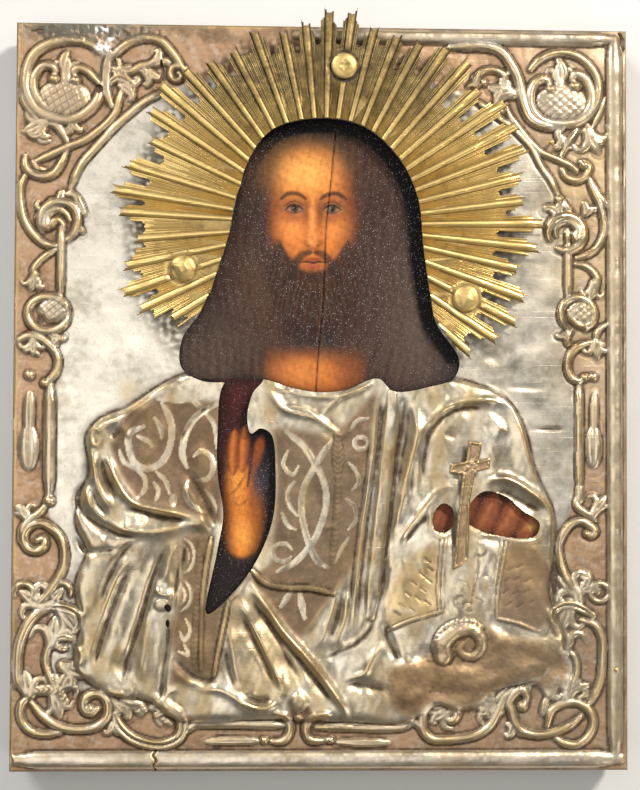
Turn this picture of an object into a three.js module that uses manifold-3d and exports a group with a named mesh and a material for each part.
// An icon panel: a painted wooden board, an embossed metal cover bent over its edges, a separate nimbus
// of rays held by three domed bosses, a small hand cross, and two of the cover's nails.
// Millimetres, +Z up. The panel lies on its back: +X is its right-hand side, +Y its top, +Z its front.
import * as THREE from 'three';
import { mergeVertices } from 'three/addons/utils/BufferGeometryUtils.js';
import Module from 'manifold-3d';

const wasm = await Module();
wasm.setup();

// Driving dimensions. GAP is the room between the board and the cover, CLEARANCE the room round pins and
// under heads, SINK how far raised work is let into its ground, and CLEAR_OF_ALL a height that cuts run past.
const BOARD = { width: 220, height: 267, thickness: 22, chamfer: 0.8 };
const GAP = 0.3;
const SHEET = 0.6;
const SKIRT = { drop: 15, corner: 1.6 };
const SINK = 0.35;
const FINE_STEP = 0.7;
const BEND = THREE.MathUtils.degToRad(36);
const FIGURE = { rise: 2.3, inset: 2.2, outlineStep: 9 };
const ORB = { x: 52, y: -71, radius: 27, rise: 1.4, sides: 24 };
const NIMBUS = {
  x: 0, y: 61, sheet: 0.6, overhang: 0.8, innerRadius: 36, innerLift: 6, outerRadius: 80, outerLift: 4,
  ridgeRise: 1.1, ridgeInner: 0.95, ridgeOuter: 1.5, stripHalf: 3.4, stripShare: 0.42, slotStart: 62,
  slotSpread: 4, stripShort: 6, tipNotch: 2,
};
const BOSS = { radius: 4.75, rise: 3.4, pin: 1.1, pinDepth: 9, sides: 18, seat: 5.2 };
const NAIL = { radius: 0.9, rise: 0.6, stand: 2, pin: 0.5, pinDepth: 8, sides: 8 };
const CROSS = { thickness: 1.1, back: 26.9 };
const CLEARANCE = 0.3;
const SIMPLER = 0.08;
const CLEAR_OF_ALL = 20;
const DOME_SIDES = { small: 8, cloud: 10 };
const DOME_RISE = { small: 1.5, cloud: 1.3 };
const OPENING_STEP = 5;

const FRONT = BOARD.thickness;
const SHEET_BACK = FRONT + GAP;
const SHEET_FRONT = SHEET_BACK + SHEET;

const BOSS_PLACES = { boss_top: [7.2, 118.8], boss_left: [-50.2, 45], boss_right: [51.5, 35.2] };
const NAIL_PLACES = { nail_upper: [83, 92.6], nail_lower: [106.2, -98] };

const COLOURS = {
  wood: { color: 0x4a3526, roughness: 0.65, metalness: 0 },
  silver: { color: 0xb5aa98, roughness: 0.35, metalness: 1 },
  brass: { color: 0xb99a55, roughness: 0.35, metalness: 1 },
};

// ---- Paths -------------------------------------------------------------------------------------------

// Points of an elliptical arc, angles in degrees, counter-clockwise when `to` is above `from`.
function arc(x, y, rx, ry, from, to) {
  const steps = Math.max(3, Math.ceil(Math.abs(to - from) / 40));
  return Array.from({ length: steps + 1 }, (_, i) => {
    const angle = THREE.MathUtils.degToRad(from + ((to - from) * i) / steps);
    return [x + rx * Math.cos(angle), y + ry * Math.sin(angle)];
  });
}

// A smooth run through a few points, cut into steps of about `step` millimetres.
function smooth(path, step, closed = false) {
  const places = path.map(([x, y]) => new THREE.Vector3(x, y, 0));
  const curve = new THREE.CatmullRomCurve3(places, closed, 'centripetal');
  const count = Math.max(2, Math.round(curve.getLength() / step));
  return curve.getSpacedPoints(count).map((p) => new THREE.Vector2(p.x, p.y));
}

// Stations of a smooth run: its ends, and every place where it has turned by BEND since the last one.
function bends(path) {
  const points = smooth(path, FINE_STEP);
  const last = points.length - 1;
  const along = points.map((point, i) => {
    const next = points[Math.min(i + 1, last)];
    return next.clone().sub(points[Math.max(i - 1, 0)]);
  });
  let turned = 0;
  const kept = points.map((point, i) => {
    const turn = i === 0 ? 0 : Math.atan2(along[i - 1].cross(along[i]), along[i - 1].dot(along[i]));
    turned += Math.abs(turn);
    const keep = i === 0 || i === last || (turned > BEND && i < last - 1);
    turned = keep ? 0 : turned;
    return keep;
  });
  const stations = points.map((place, i) => ({ place, along: along[i].normalize() }));
  return stations.filter((station, i) => kept[i]);
}

// A smooth run through a closed outline, without the last point, which repeats the first.
function smoothLoop(outline, step) {
  return smooth(outline, step, true).slice(0, -1);
}

// ---- The cover's relief: width, rise and run of each scroll, rod and fold -------------------------------

const TOP_RIGHT = [
  [3.0, 1.7, [[48, 127.5], [60, 127.6], [65, 125.7], [71, 116], [73, 106.5], [78, 99.8], [86, 98]]],
  [2.2, 1.5, arc(87, 112.3, 13.6, 13.6, 165, -75)],
  [2.2, 1.4, arc(86.7, 108.5, 10.6, 8.4, 140, 400)],
  [2.6, 1.2, [[86.5, 115], [87.2, 119], [85.5, 123.5]]],
  [2.0, 1.1, [[97, 99.5], [98, 95.5], [96.5, 92], [94.3, 90.8]]],
  [1.8, 1.0, [[98, 95.5], [100.3, 92.6], [102, 93.5]]],
  [2.2, 1.3, [[54.5, 108.5], [61, 103.8], [70, 97], [76, 90.5], [79.5, 84], [85.7, 73.5]]],
  [2.0, 1.3, [[66.5, 107], [67.5, 103], [74.5, 94], [79, 89.5], [85, 86.8], [92.7, 82]]],
  [2.2, 1.4, arc(91.8, 83.2, 5.1, 4.3, 190, 405)],
  [2.6, 1.3, [[71, 110.5], [66, 111.3], [63, 109.5], [63.6, 107.5]]],
  [2.0, 1.3, [[67, 113.5], [65.5, 117.5], [61, 119.3], [57, 118], [55.5, 112]]],
];
const UPPER_RIGHT = [
  [3.2, 1.8, arc(88.3, 59.8, 6.6, 6.2, -100, 175)],
  [2.6, 1.5, [[89.2, 60], [89.2, 35.5]]],
  [2.2, 1.4, [[97.5, 79.5], [101, 70], [102.4, 62], [100.5, 55.5], [92.5, 50.7]]],
  [1.9, 1.2, [[92, 48.7], [95.5, 48], [100, 42.5], [98.8, 38.3]]],
  [2.2, 1.5, arc(92.8, 30, 6, 6, -65, 230)],
  [2.0, 1.2, [[103.8, 27], [101.5, 25.5], [99.5, 22.5], [99.5, 18]]],
  [2.4, 1.5, [[97, 20], [93, 18.5], [89.3, 13], [90.5, 7], [93.5, 5.8], [95.5, 7.2]]],
];
const LOWER_RIGHT = [
  [2.8, 1.5, [[93.3, 4.5], [93.3, -33]]],
  [3.4, 1.3, [[99, 2], [98.7, -4], [98.6, -10.5], [98.5, -24]]],
  [4.2, 1.8, [[93.4, -32.5], [93.4, -37.2]]],
  [2.4, 1.5, [[92.4, -36], [93.5, -40.5], [99, -44.5]]],
  [2.5, 1.7, [[94.5, -50.5], [99.2, -49], [93.5, -44.7], [88, -48.5], [86.4, -60.3], [92.5, -71.5]]],
  [1.5, 1.0, arc(100.4, -70.5, 3.3, 3.3, 0, 190)],
  [1.5, 1.0, arc(100.4, -70.5, 3.3, 3.3, 180, 370)],
  [4.0, 1.6, [[92.5, -70.5], [93.5, -76]]],
  [2.8, 1.8, [[85, -84], [83.3, -80], [88, -75], [92, -75.5], [98.5, -79.5]]],
  [2.6, 1.7, [[94, -80.5], [98.5, -82], [101.5, -87], [101.6, -95], [98.5, -108], [96.8, -110.5]]],
  [2.0, 1.3, [[90.5, -105.5], [92.3, -96.5], [88, -91], [82.5, -89]]],
  [2.4, 1.5, arc(89.8, -117.4, 8.4, 7.3, 190, -130)],
  [2.6, 1.7, [[93.7, -115], [85, -120.3], [73, -120.5], [67.8, -111], [72, -105.5], [73.5, -110.5]]],
  [2.0, 1.3, [[73.5, -105], [78.5, -102], [82.5, -107]]],
];
const BOTTOM = [
  [2.8, 1.7, [[44, -115], [48, -113], [45, -110.2], [40.5, -110], [36.8, -115.5], [38, -121.5], [50, -122.8],
    [60.5, -118.5], [66, -108], [69, -105.5]]],
  [2.4, 1.4, [[-50, -120.5], [-45, -117.7], [-42, -118], [-12.5, -118]]],
  [2.4, 1.4, [[-1.5, -118.7], [29.5, -118.7], [33, -116.8], [38, -122]]],
  [2.6, 1.6, [[-16.5, -113.5], [-12.2, -115.5], [-11.3, -119], [-13.5, -123.3], [-20, -123.5]]],
  [2.6, 1.6, [[2.8, -113.8], [-3.5, -115.5], [-5.5, -119.5], [-3, -123.3], [3.3, -123.4]]],
  [4.4, 1.8, [[-8, -107.3], [-8, -112.2]]],
];
const TOP_LEFT = [
  [2.8, 1.6, [[-50.5, 117.5], [-59, 128], [-64, 129], [-70, 127.5], [-77.5, 121], [-79, 113], [-77.5, 104]]],
  [3.2, 1.6, arc(-94, 113.3, 13.6, 14.4, 52, 350)],
  [2.2, 1.4, [[-98, 114.3], [-96.8, 116.5], [-101.5, 118.7], [-104.6, 113], [-103.5, 107]]],
  [2.2, 1.4, [[-89.3, 114], [-90.3, 116.3], [-85.5, 116.8], [-80.8, 112]]],
  [2.4, 1.2, [[-93, 115.5], [-93.6, 120], [-92.5, 124]]],
  [2.2, 1.3, [[-108.6, 108], [-104.5, 100.5], [-101, 94], [-105, 93.3], [-107.3, 95.3]]],
  [2.2, 1.3, [[-57.5, 109.5], [-64.5, 106], [-75, 97], [-83, 88], [-89, 79.5], [-91, 74]]],
  [2.0, 1.3, [[-73, 110], [-75, 102], [-82, 94.5], [-92, 89.2], [-103.5, 83.8]]],
  [2.6, 1.4, [[-78, 112], [-74.5, 114.5], [-69.5, 112], [-69.5, 108.5]]],
  [2.0, 1.3, [[-74.3, 121], [-73, 117.5], [-66, 119], [-59, 123.5]]],
  [2.4, 1.5, [[-107, 86], [-105, 79.5], [-101, 78.3], [-97, 79.5], [-92.5, 87.5]]],
];
const UPPER_LEFT = [
  [2.4, 1.5, [[-107.3, 78.5], [-108.6, 70], [-104.3, 57.5], [-96, 53.3]]],
  [3.0, 1.7, arc(-95.4, 62.3, 6.6, 6.6, 200, -60)],
  [2.4, 1.5, [[-94.2, 63], [-94.2, 35.5]]],
  [2.0, 1.3, [[-95.8, 52], [-102, 47.5], [-104, 44.5], [-103, 41]]],
  [2.4, 1.5, arc(-98.6, 28.8, 7.3, 6.2, 0, 190)],
  [2.4, 1.5, arc(-98.6, 28.8, 7.3, 6.2, 180, 370)],
  [2.4, 1.5, [[-109, 19], [-103.5, 21], [-97, 16.5], [-95, 11.5], [-99.6, 4]]],
];
const LOWER_LEFT = [
  [3.2, 1.5, [[-97.6, 3.6], [-97.6, -36.5]]],
  [4.2, 1.4, [[-104.7, 0.5], [-105, -6], [-105, -16], [-105, -25.5]]],
  [2.2, 1.4, [[-98.3, -38.5], [-104, -44.5], [-107.6, -50]]],
  [2.6, 1.7, [[-101, -52.5], [-106.3, -52], [-100.5, -46], [-93, -52], [-92.5, -62.5], [-103, -76]]],
  [1.4, 1.0, arc(-93, -71.2, 3.2, 3.2, 0, 190)],
  [1.4, 1.0, arc(-93, -71.2, 3.2, 3.2, 180, 370)],
  [3.0, 1.7, [[-98, -76.5], [-91, -76.5], [-86.8, -80.5], [-88, -84.5]]],
  [3.0, 1.7, [[-96, -76], [-105, -82.5], [-108.2, -94], [-105.3, -106.8]]],
  [2.2, 1.3, [[-98.5, -83.7], [-96.2, -88], [-98.3, -95.5], [-94, -105.7]]],
  [2.2, 1.3, [[-96, -88], [-92, -86.8], [-88, -87.7]]],
  [2.4, 1.5, [[-92, -109], [-99, -105.3], [-106.3, -110], [-106, -117], [-98.5, -121], [-91, -120]]],
  [2.6, 1.7, [[-103, -110], [-91, -118.8], [-80, -118.3], [-76, -111], [-81, -106.7], [-84.5, -112]]],
  [3.2, 1.6, [[-76.5, -106.5], [-69, -109.3], [-63.5, -111.5]]],
  [3.2, 1.7, [[-73.5, -114], [-68, -122], [-56, -124.7], [-49.5, -118], [-55, -112.3], [-58.7, -114.3]]],
];
const BARS = [
  [4.4, 2.0, [[-8, 131.2], [108.4, 131.2]]],
  [4.2, 2.0, [[106.4, 131], [106.4, -131]]],
  [5.0, 2.0, [[-108, -129.6], [108.4, -129.6]]],
];
const SMALL_DOMES = [[98.5, 7.5, 1.7], [-105, 6.8, 1.8], [72, -111.8, 1.8], [-97.5, -38, 2.1]];
const CLOUD_DOMES = [[31, -101.5, 6], [45, -100, 7], [60.5, -91, 6], [72, -96, 7]];

// The figure's folds, on the raised ground of the dress.
const FOLDS = [
  [4.5, 1.6, [[-64, -52], [-73, -58], [-79, -75], [-86, -98]]],
  [4.0, 1.5, [[-68, -60], [-75, -77], [-80, -94]]],
  [4.5, 1.8, [[-55, -50], [-61, -63], [-65, -80], [-71, -103]]],
  [4.0, 1.6, [[-48, -49], [-52, -66], [-56, -84], [-59, -108]]],
  [3.0, 1.2, [[-27.5, -65.5], [-15, -83], [-2, -98], [10, -114]]],
  [3.5, 1.3, [[-30, -71], [-20, -91], [-13, -108]]],
  [3.0, 1.2, [[-33.5, -73], [-34, -92], [-38, -100.5]]],
  [3.5, 1.5, [[21, 2], [19, -25], [14, -60], [11, -86]]],
  [4.5, 1.7, [[27, 0.5], [24, -30], [20.5, -62], [17.5, -84]]],
  [3.5, 1.5, [[12, -60], [5, -74], [-3.5, -94]]],
  [3.5, 1.4, [[33, 1], [29, -22], [26, -52]]],
  [2.6, 1.3, [[-77, -20], [-74, -30], [-67, -39.5], [-45, -44], [-37.5, -49.5]]],
  [4.5, 1.7, [[-83.5, -29], [-84, -38], [-73, -47.5], [-52, -48]]],
  [2.4, 1.3, [[-70, -15], [-66, -5.5], [-60, -1]]],
  [3.0, 1.3, [[58, -32], [64, -31], [74, -36.5], [83, -42]]],
  [3.0, 1.3, [[26, -54], [36, -43], [43.5, -35.5], [48, -38]]],
  [3.0, 1.3, [[50, -0.5], [42, -5], [36.5, -16], [34, -34]]],
  [2.2, 1.1, [[-21, 4], [-14, -5], [0, -9.5], [6.5, -13.5], [7.5, -11], [4, -8]]],
  [3.4, 1.3, [[50, -34], [49, -42], [49.4, -52]]],
  [4.0, 1.6, arc(52.5, -91, 7.5, 6.8, -40, 300)],
];

const FIGURE_OUTLINE = [[-51, 7], [-62, 0.5], [-70, -4.5], [-79.5, -8.5], [-84.3, -15], [-83, -27],
  [-87, -37], [-88, -46], [-84, -56], [-88, -68], [-86, -82], [-88, -96], [-78, -104], [-60, -107],
  [-52, -113], [-16, -113], [10, -114], [32, -113], [40, -107], [52, -112], [62, -104], [76, -101],
  [88, -88], [82, -72], [84, -55], [83.5, -41], [77, -27], [72.5, -10], [67, -2.5], [54, 4.5],
  [30, 9], [-20, 12]];

// ---- Openings in the cover ------------------------------------------------------------------------------

const HEAD_OPENING = [[-43.5, 31], [-50.6, 20], [-50.8, 10], [-44, 5.2], [-34.5, 4.5], [-21, 5.6], [-12, 3],
  [-2, 1.2], [8, 2], [20, 6.2], [25.5, 1.7], [38, 3.2], [47.5, 6.6], [49.6, 13], [41, 27], [38.8, 38],
  [36.8, 52], [34.5, 72], [27, 87], [14, 98], [-3, 100.5], [-19, 96], [-28, 84], [-33, 64], [-38, 46]];
const HAND_OPENING = [[-34.8, 4.7], [-37.6, -14], [-37.4, -29], [-35.4, -43], [-37.5, -56], [-40.9, -78.2],
  [-31, -69.8], [-23, -58.5], [-17.6, -44], [-16.7, -28], [-18.4, -14], [-22.3, -11.9], [-25.6, -13.8],
  [-27, -8], [-24.9, 1], [-21.5, 5.4]];
const THUMB_OPENING = [[43.6, -38.5], [40.2, -42], [40.4, -47.8], [44, -49], [47.2, -46.4], [46.9, -40.4]];
const FINGER_OPENING = [[50.4, -43.6], [53.5, -38.2], [58.4, -34.2], [66, -35.8], [72.5, -41], [78.4, -45.6],
  [77, -50], [72, -50.9], [60, -49.3], [53, -46.2]];

// The hand cross, clockwise from its top arm, with flared ends and a slightly bent shaft.
const CROSS_OUTLINE = [[52.4, -16], [57.2, -16.7], [56, -23.2], [60.3, -22], [60, -26], [54.8, -27.4],
  [52.3, -38], [52.2, -58], [50.3, -60.6], [46.7, -62.2], [47.5, -57], [47.8, -47], [50.3, -28.3],
  [45.3, -27.6], [46.5, -24.2], [51.6, -23.4]];

// ---- The nimbus: angle and reach of each ray, from the left foot over the top to the right foot ----------

const RAYS = [[212, 65], [205, 73.5], [199, 77], [192, 73.5], [184.5, 68.5], [176.5, 74], [170.5, 77.5],
  [163, 74.5], [154, 70], [146.5, 75.5], [139.5, 78.5], [132, 76], [125, 72.5], [117.5, 72], [110, 75],
  [102, 72.5], [95.2, 74.5], [88.7, 79], [82.5, 79.4], [75.8, 75], [69, 75.2], [62.5, 76.2], [55.6, 79.8],
  [49, 81], [41.6, 76.4], [34.8, 81], [28, 80], [21.6, 79.6], [14.6, 75], [7.6, 74], [1.2, 80.6],
  [-5.4, 78.8], [-12, 72.8], [-19.4, 78], [-26.2, 78.6], [-33, 75.5], [-40.6, 70.8]];

// ---- Solids --------------------------------------------------------------------------------------------

// A closed geometry as a solid that can be joined and cut.
function toSolid(geometry) {
  const bare = geometry.clone();
  bare.deleteAttribute('normal');
  bare.deleteAttribute('uv');
  const merged = mergeVertices(bare, 1e-4);
  return new wasm.Manifold(new wasm.Mesh({
    numProp: 3,
    vertProperties: new Float32Array(merged.attributes.position.array),
    triVerts: new Uint32Array(merged.index.array),
  }));
}

// A solid as a geometry again.
function toGeometry(solid) {
  const mesh = solid.getMesh();
  const geometry = new THREE.BufferGeometry();
  geometry.setAttribute('position', new THREE.BufferAttribute(mesh.vertProperties, 3));
  geometry.setIndex(new THREE.BufferAttribute(mesh.triVerts, 1));
  geometry.computeVertexNormals();
  return geometry;
}

// A solid from its points and triangles.
function fromFaces(points, faces) {
  const geometry = new THREE.BufferGeometry();
  geometry.setAttribute('position', new THREE.Float32BufferAttribute(points.flat(), 3));
  geometry.setIndex(faces.flat());
  return toSolid(geometry);
}

// The outline (a list of Vector2) as a prism from `low` to `high`.
function prism(outline, low, high) {
  const settings = { depth: high - low, bevelEnabled: false };
  const geometry = new THREE.ExtrudeGeometry(new THREE.Shape(outline), settings);
  return toSolid(geometry.translate(0, 0, low));
}

// A closed profile of [radius, height] points turned round the upright axis at x, y.
function turned(profile, x, y, base, sides) {
  const points = profile.map(([radius, height]) => new THREE.Vector2(radius, height));
  return toSolid(new THREE.LatheGeometry(points, sides).rotateX(Math.PI / 2).translate(x, y, base));
}

// A plain round bar between two heights.
function roundBar(x, y, radius, low, high, sides) {
  return turned([[0, low], [radius, low], [radius, high], [0, high]], x, y, 0, sides);
}

// A low dome whose foot is sunk into the ground under it.
function dome(x, y, radius, rise, base, sides) {
  return turned([[0, -SINK], [radius, -SINK], [radius * 0.72, rise * 0.7], [0, rise]], x, y, base, sides);
}

// The section of a ridge at one station: wide foot, narrow flat crest.
function ridgeSection(station, side, half, rise, base) {
  const across = [[-1, -SINK], [-0.45, rise], [0.45, rise], [1, -SINK]];
  return across.map(([u, z]) => [station.x + side.x * half * u, station.y + side.y * half * u, base + z]);
}

// A scroll, rod or fold: four-sided sections along a smooth run, lower and narrower at both ends.
function ridge([width, rise, path], base) {
  const stations = bends(path);
  const last = stations.length - 1;
  const sections = stations.flatMap(({ place, along }, i) => {
    const taper = i === 0 || i === last ? 0.6 : 1;
    const side = new THREE.Vector2(-along.y, along.x);
    return ridgeSection(place, side, (width / 2) * taper, rise * taper, base);
  });
  const end = 4 * last;
  const faces = [[0, 1, 2], [0, 2, 3], [end, end + 2, end + 1], [end, end + 3, end + 2]];
  for (let i = 0; i < end; i += 1) {
    const j = i % 4 === 3 ? i - 3 : i + 1;
    faces.push([i, i + 4, j], [j, i + 4, j + 4]);
  }
  return fromFaces(sections, faces);
}

// ---- Board ---------------------------------------------------------------------------------------------

// Round holes for every pin and nail, from `low` up past the cover.
function pinHoles(low) {
  const high = FRONT + CLEAR_OF_ALL;
  const hole = (radius, sides) => ([x, y]) => roundBar(x, y, radius + CLEARANCE, low, high, sides);
  return wasm.Manifold.union([
    ...Object.values(BOSS_PLACES).map(hole(BOSS.pin, 8)),
    ...Object.values(NAIL_PLACES).map(hole(NAIL.pin, 6)),
  ]);
}

// The slab, with its edges taken off and a blind hole for each pin.
function boardSolid() {
  const { width, height, thickness, chamfer } = BOARD;
  const x = width / 2 - chamfer;
  const y = height / 2 - chamfer;
  const corners = [[-x, -y], [x, -y], [x, y], [-x, y]].map(([px, py]) => new THREE.Vector2(px, py));
  const slab = new THREE.ExtrudeGeometry(new THREE.Shape(corners), {
    depth: thickness - 2 * chamfer, bevelThickness: chamfer, bevelSize: chamfer, bevelSegments: 1,
  });
  return toSolid(slab.translate(0, 0, chamfer)).subtract(pinHoles(FRONT - BOSS.pinDepth - CLEARANCE));
}

// ---- Cover ---------------------------------------------------------------------------------------------

// The board's outline grown by `grow`, with cut corners.
function panelOutline(grow, cut) {
  const x = BOARD.width / 2 + grow;
  const y = BOARD.height / 2 + grow;
  const corners = [[x - cut, -y], [x, -y + cut], [x, y - cut], [x - cut, y], [-x + cut, y], [-x, y - cut],
    [-x, -y + cut], [-x + cut, -y]];
  return corners.map(([px, py]) => new THREE.Vector2(px, py));
}

// The figure's ground: its outline drawn in by a rounded edge, up to the level that the folds stand on.
function figureGround() {
  const outline = smoothLoop(FIGURE_OUTLINE, FIGURE.outlineStep).reverse();
  const geometry = new THREE.ExtrudeGeometry(new THREE.Shape(outline), {
    depth: SINK,
    bevelThickness: FIGURE.rise,
    bevelSize: FIGURE.inset,
    bevelOffset: -FIGURE.inset,
    bevelSegments: 2,
  });
  const below = prism(panelOutline(GAP, GAP), SHEET_FRONT - CLEAR_OF_ALL, SHEET_FRONT - SINK);
  return toSolid(geometry.translate(0, 0, SHEET_FRONT - SINK)).subtract(below);
}

// The orb's face: a shallow cap.
function orb() {
  const { x, y, radius, rise, sides } = ORB;
  const face = [[radius * 0.85, rise * 0.4], [radius * 0.55, rise * 0.8], [0, rise]];
  return turned([[0, -SINK], [radius, -SINK], ...face], x, y, SHEET_FRONT + FIGURE.rise, sides);
}

// Everything that stands proud of the cover's sheet.
function coverRelief() {
  const right = [TOP_RIGHT, UPPER_RIGHT, LOWER_RIGHT];
  const left = [TOP_LEFT, UPPER_LEFT, LOWER_LEFT];
  const scrolls = [...right, BOTTOM, ...left, BARS].flat();
  const raised = SHEET_FRONT + FIGURE.rise;
  return [
    figureGround(),
    orb(),
    ...scrolls.map((scroll) => ridge(scroll, SHEET_FRONT)),
    ...FOLDS.map((fold) => ridge(fold, raised)),
    ...SMALL_DOMES.map((place) => dome(...place, DOME_RISE.small, SHEET_FRONT, DOME_SIDES.small)),
    ...CLOUD_DOMES.map((place) => dome(...place, DOME_RISE.cloud, raised, DOME_SIDES.cloud)),
  ];
}

// The sheet with its skirt and relief, cut by its openings and pin holes.
function coverSolid() {
  const tray = prism(panelOutline(GAP + SHEET, SKIRT.corner), FRONT - SKIRT.drop, SHEET_FRONT);
  const hollow = prism(panelOutline(GAP, GAP), FRONT - SKIRT.drop - 1, SHEET_BACK);
  const openings = [HEAD_OPENING, HAND_OPENING, THUMB_OPENING, FINGER_OPENING]
    .map((outline) => prism(smoothLoop(outline, OPENING_STEP), FRONT - 1, FRONT + CLEAR_OF_ALL));
  return wasm.Manifold.union([tray, ...coverRelief()])
    .subtract(wasm.Manifold.union([hollow, pinHoles(FRONT - 1), ...openings]))
    .simplify(SIMPLER);
}

// ---- Nimbus --------------------------------------------------------------------------------------------

// Height of the nimbus's underside at a distance from its centre: a shallow cone, lower at the rim.
function nimbusBack(distance) {
  const share = (distance - NIMBUS.innerRadius) / (NIMBUS.outerRadius - NIMBUS.innerRadius);
  return FRONT + THREE.MathUtils.lerp(NIMBUS.innerLift, NIMBUS.outerLift, share);
}

// Distance from the nimbus's centre to an outline, along an angle in degrees.
function distanceTo(outline, angle) {
  const turn = THREE.MathUtils.degToRad(angle);
  const along = new THREE.Vector2(Math.cos(turn), Math.sin(turn));
  const centre = new THREE.Vector2(NIMBUS.x, NIMBUS.y);
  const hits = outline.map((point, i) => {
    const from = point.clone().sub(centre);
    const edge = outline[(i + 1) % outline.length].clone().sub(point);
    const crossing = along.cross(edge);
    const distance = from.cross(edge) / crossing;
    const share = from.cross(along) / crossing;
    return distance > 0 && share >= 0 && share <= 1 ? distance : Infinity;
  });
  return Math.min(...hits);
}

// One point of a ray: so far out along it, so far to its side, at the sheet's front plus a lift.
function rayPoint(angle, distance, offset, lift) {
  const turn = THREE.MathUtils.degToRad(angle);
  const x = NIMBUS.x + distance * Math.cos(turn) + offset * Math.sin(turn);
  const y = NIMBUS.y + distance * Math.sin(turn) - offset * Math.cos(turn);
  return [x, y, nimbusBack(distance) + NIMBUS.sheet + lift];
}

// One row across a ray: strip edge, foot, crest, foot, strip edge.
function rayRow(angle, gaps, distance, notch) {
  const half = THREE.MathUtils.mapLinear(distance, NIMBUS.innerRadius, NIMBUS.outerRadius,
    NIMBUS.ridgeInner, NIMBUS.ridgeOuter);
  const [before, after] = gaps.map((gap) => {
    const share = NIMBUS.stripShare * distance * THREE.MathUtils.degToRad(gap);
    return Math.min(NIMBUS.stripHalf, share);
  });
  return [
    rayPoint(angle, distance, -before, 0),
    rayPoint(angle, distance, -half, 0),
    rayPoint(angle, distance - notch, 0, NIMBUS.ridgeRise),
    rayPoint(angle, distance, half, 0),
    rayPoint(angle, distance, after, 0),
  ];
}

// The four rows of one ray: inner edge, where the slots start, where the strips end, and the tip.
function rayRows(outline, index) {
  const [angle, reach] = RAYS[index];
  const before = index > 0 ? RAYS[index - 1][0] - angle : angle - RAYS[index + 1][0];
  const after = index < RAYS.length - 1 ? angle - RAYS[index + 1][0] : before;
  const inner = distanceTo(outline, angle) - NIMBUS.overhang;
  const slot = NIMBUS.slotStart + NIMBUS.slotSpread * Math.sin(index * 2.4);
  const rows = [[inner, 0], [slot, 0], [reach - NIMBUS.stripShort, 0], [reach, NIMBUS.tipNotch]];
  return rows.flatMap(([distance, notch]) => rayRow(angle, [before, after], distance, notch));
}

// Four-cornered cells of one ray and of the web to the next one, as indexes of points.
function rayCells(index) {
  const at = (row, column) => index * 20 + row * 5 + column;
  const cells = [];
  for (let row = 0; row < 3; row += 1) {
    const columns = row < 2 ? [0, 1, 2, 3] : [1, 2];
    columns.forEach((c) => cells.push([at(row, c), at(row, c + 1), at(row + 1, c + 1), at(row + 1, c)]));
  }
  if (index < RAYS.length - 1) {
    cells.push([at(0, 4), at(0, 20), at(1, 20), at(1, 4)]);
  }
  return cells;
}

// A sheet of cells given one thickness, with walls along every edge that only one cell has.
function sheetSolid(points, cells, thickness) {
  const count = points.length;
  const edges = new Map();
  const faces = [];
  cells.forEach(([a, b, c, d]) => {
    faces.push([a, b, c], [a, c, d], [a + count, c + count, b + count], [a + count, d + count, c + count]);
    [[a, b], [b, c], [c, d], [d, a]].forEach(([from, to]) => {
      const other = `${to} ${from}`;
      if (edges.has(other)) {
        edges.delete(other);
      } else {
        edges.set(`${from} ${to}`, [from, to]);
      }
    });
  });
  edges.forEach(([from, to]) => faces.push([from, to + count, to], [from, from + count, to + count]));
  return fromFaces([...points, ...points.map(([x, y, z]) => [x, y, z - thickness])], faces);
}

// The fan of rays, flattened under each boss.
function nimbusSolid() {
  const outline = smoothLoop(HEAD_OPENING, OPENING_STEP);
  const points = RAYS.flatMap((ray, index) => rayRows(outline, index));
  const cells = RAYS.flatMap((ray, index) => rayCells(index));
  const seats = Object.values(BOSS_PLACES)
    .map((place) => roundBar(...place, BOSS.seat, bossSeat(place), FRONT + CLEAR_OF_ALL, BOSS.sides));
  return sheetSolid(points, cells, NIMBUS.sheet).subtract(wasm.Manifold.union([pinHoles(FRONT), ...seats]));
}

// ---- Fastenings and cross ------------------------------------------------------------------------------

// The level that the nimbus is flattened to under a boss.
function bossSeat([x, y]) {
  return nimbusBack(Math.hypot(x - NIMBUS.x, y - NIMBUS.y) - BOSS.seat) + NIMBUS.sheet;
}

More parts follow.
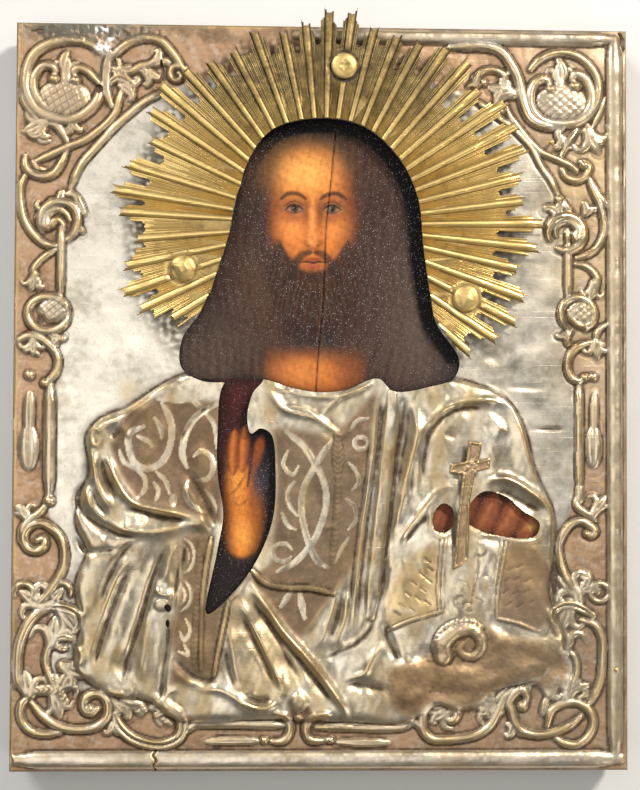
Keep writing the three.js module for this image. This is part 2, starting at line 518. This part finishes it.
// A domed head on its pin.
function bossSolid(place) {
  const { radius, rise, pin } = BOSS;
  const base = bossSeat(place) + CLEARANCE;
  const bottom = FRONT - BOSS.pinDepth - base;
  const rim = [[radius, 0], [radius, rise * 0.25]];
  const crown = [[radius * 0.82, rise * 0.62], [radius * 0.5, rise * 0.88], [0, rise]];
  return turned([[0, bottom], [pin, bottom], [pin, 0], ...rim, ...crown], ...place, base, BOSS.sides);
}

// A small pointed head on its pin.
function nailSolid(place) {
  const { radius, rise, pin } = NAIL;
  const base = SHEET_FRONT + NAIL.stand + CLEARANCE;
  const bottom = FRONT - NAIL.pinDepth - base;
  const head = [[radius, 0], [radius * 0.6, rise * 0.8], [0, rise]];
  return turned([[0, bottom], [pin, bottom], [pin, 0], ...head], ...place, base, NAIL.sides);
}

// The cross, a flat plate.
function crossSolid() {
  const outline = CROSS_OUTLINE.map(([x, y]) => new THREE.Vector2(x, y));
  return prism(outline.reverse(), CROSS.back, CROSS.back + CROSS.thickness);
}

// ---- The panel -----------------------------------------------------------------------------------------

// Puts one named mesh into the group.
function addPiece(group, name, solid, colour) {
  const mesh = new THREE.Mesh(toGeometry(solid), new THREE.MeshStandardMaterial(colour));
  mesh.name = name;
  group.add(mesh);
}

// Every piece of the panel, in its own frame: the middle of the board at the origin.
function buildPanel() {
  const panel = new THREE.Group();
  addPiece(panel, 'board', boardSolid(), COLOURS.wood);
  addPiece(panel, 'cover', coverSolid(), COLOURS.silver);
  addPiece(panel, 'nimbus', nimbusSolid(), COLOURS.brass);
  Object.entries(BOSS_PLACES).forEach(([name, place]) => {
    addPiece(panel, name, bossSolid(place), COLOURS.brass);
  });
  addPiece(panel, 'hand_cross', crossSolid(), COLOURS.brass);
  Object.entries(NAIL_PLACES).forEach(([name, place]) => {
    addPiece(panel, name, nailSolid(place), COLOURS.brass);
  });
  return panel;
}

// The rays reach past the board's top edge, so the panel is set back to keep the origin in the middle.
const panel = buildPanel();
const reach = new THREE.Box3().setFromObject(panel);
panel.position.set(-(reach.min.x + reach.max.x) / 2, -(reach.min.y + reach.max.y) / 2, 0);
const part = new THREE.Group();
part.add(panel);

export default part;
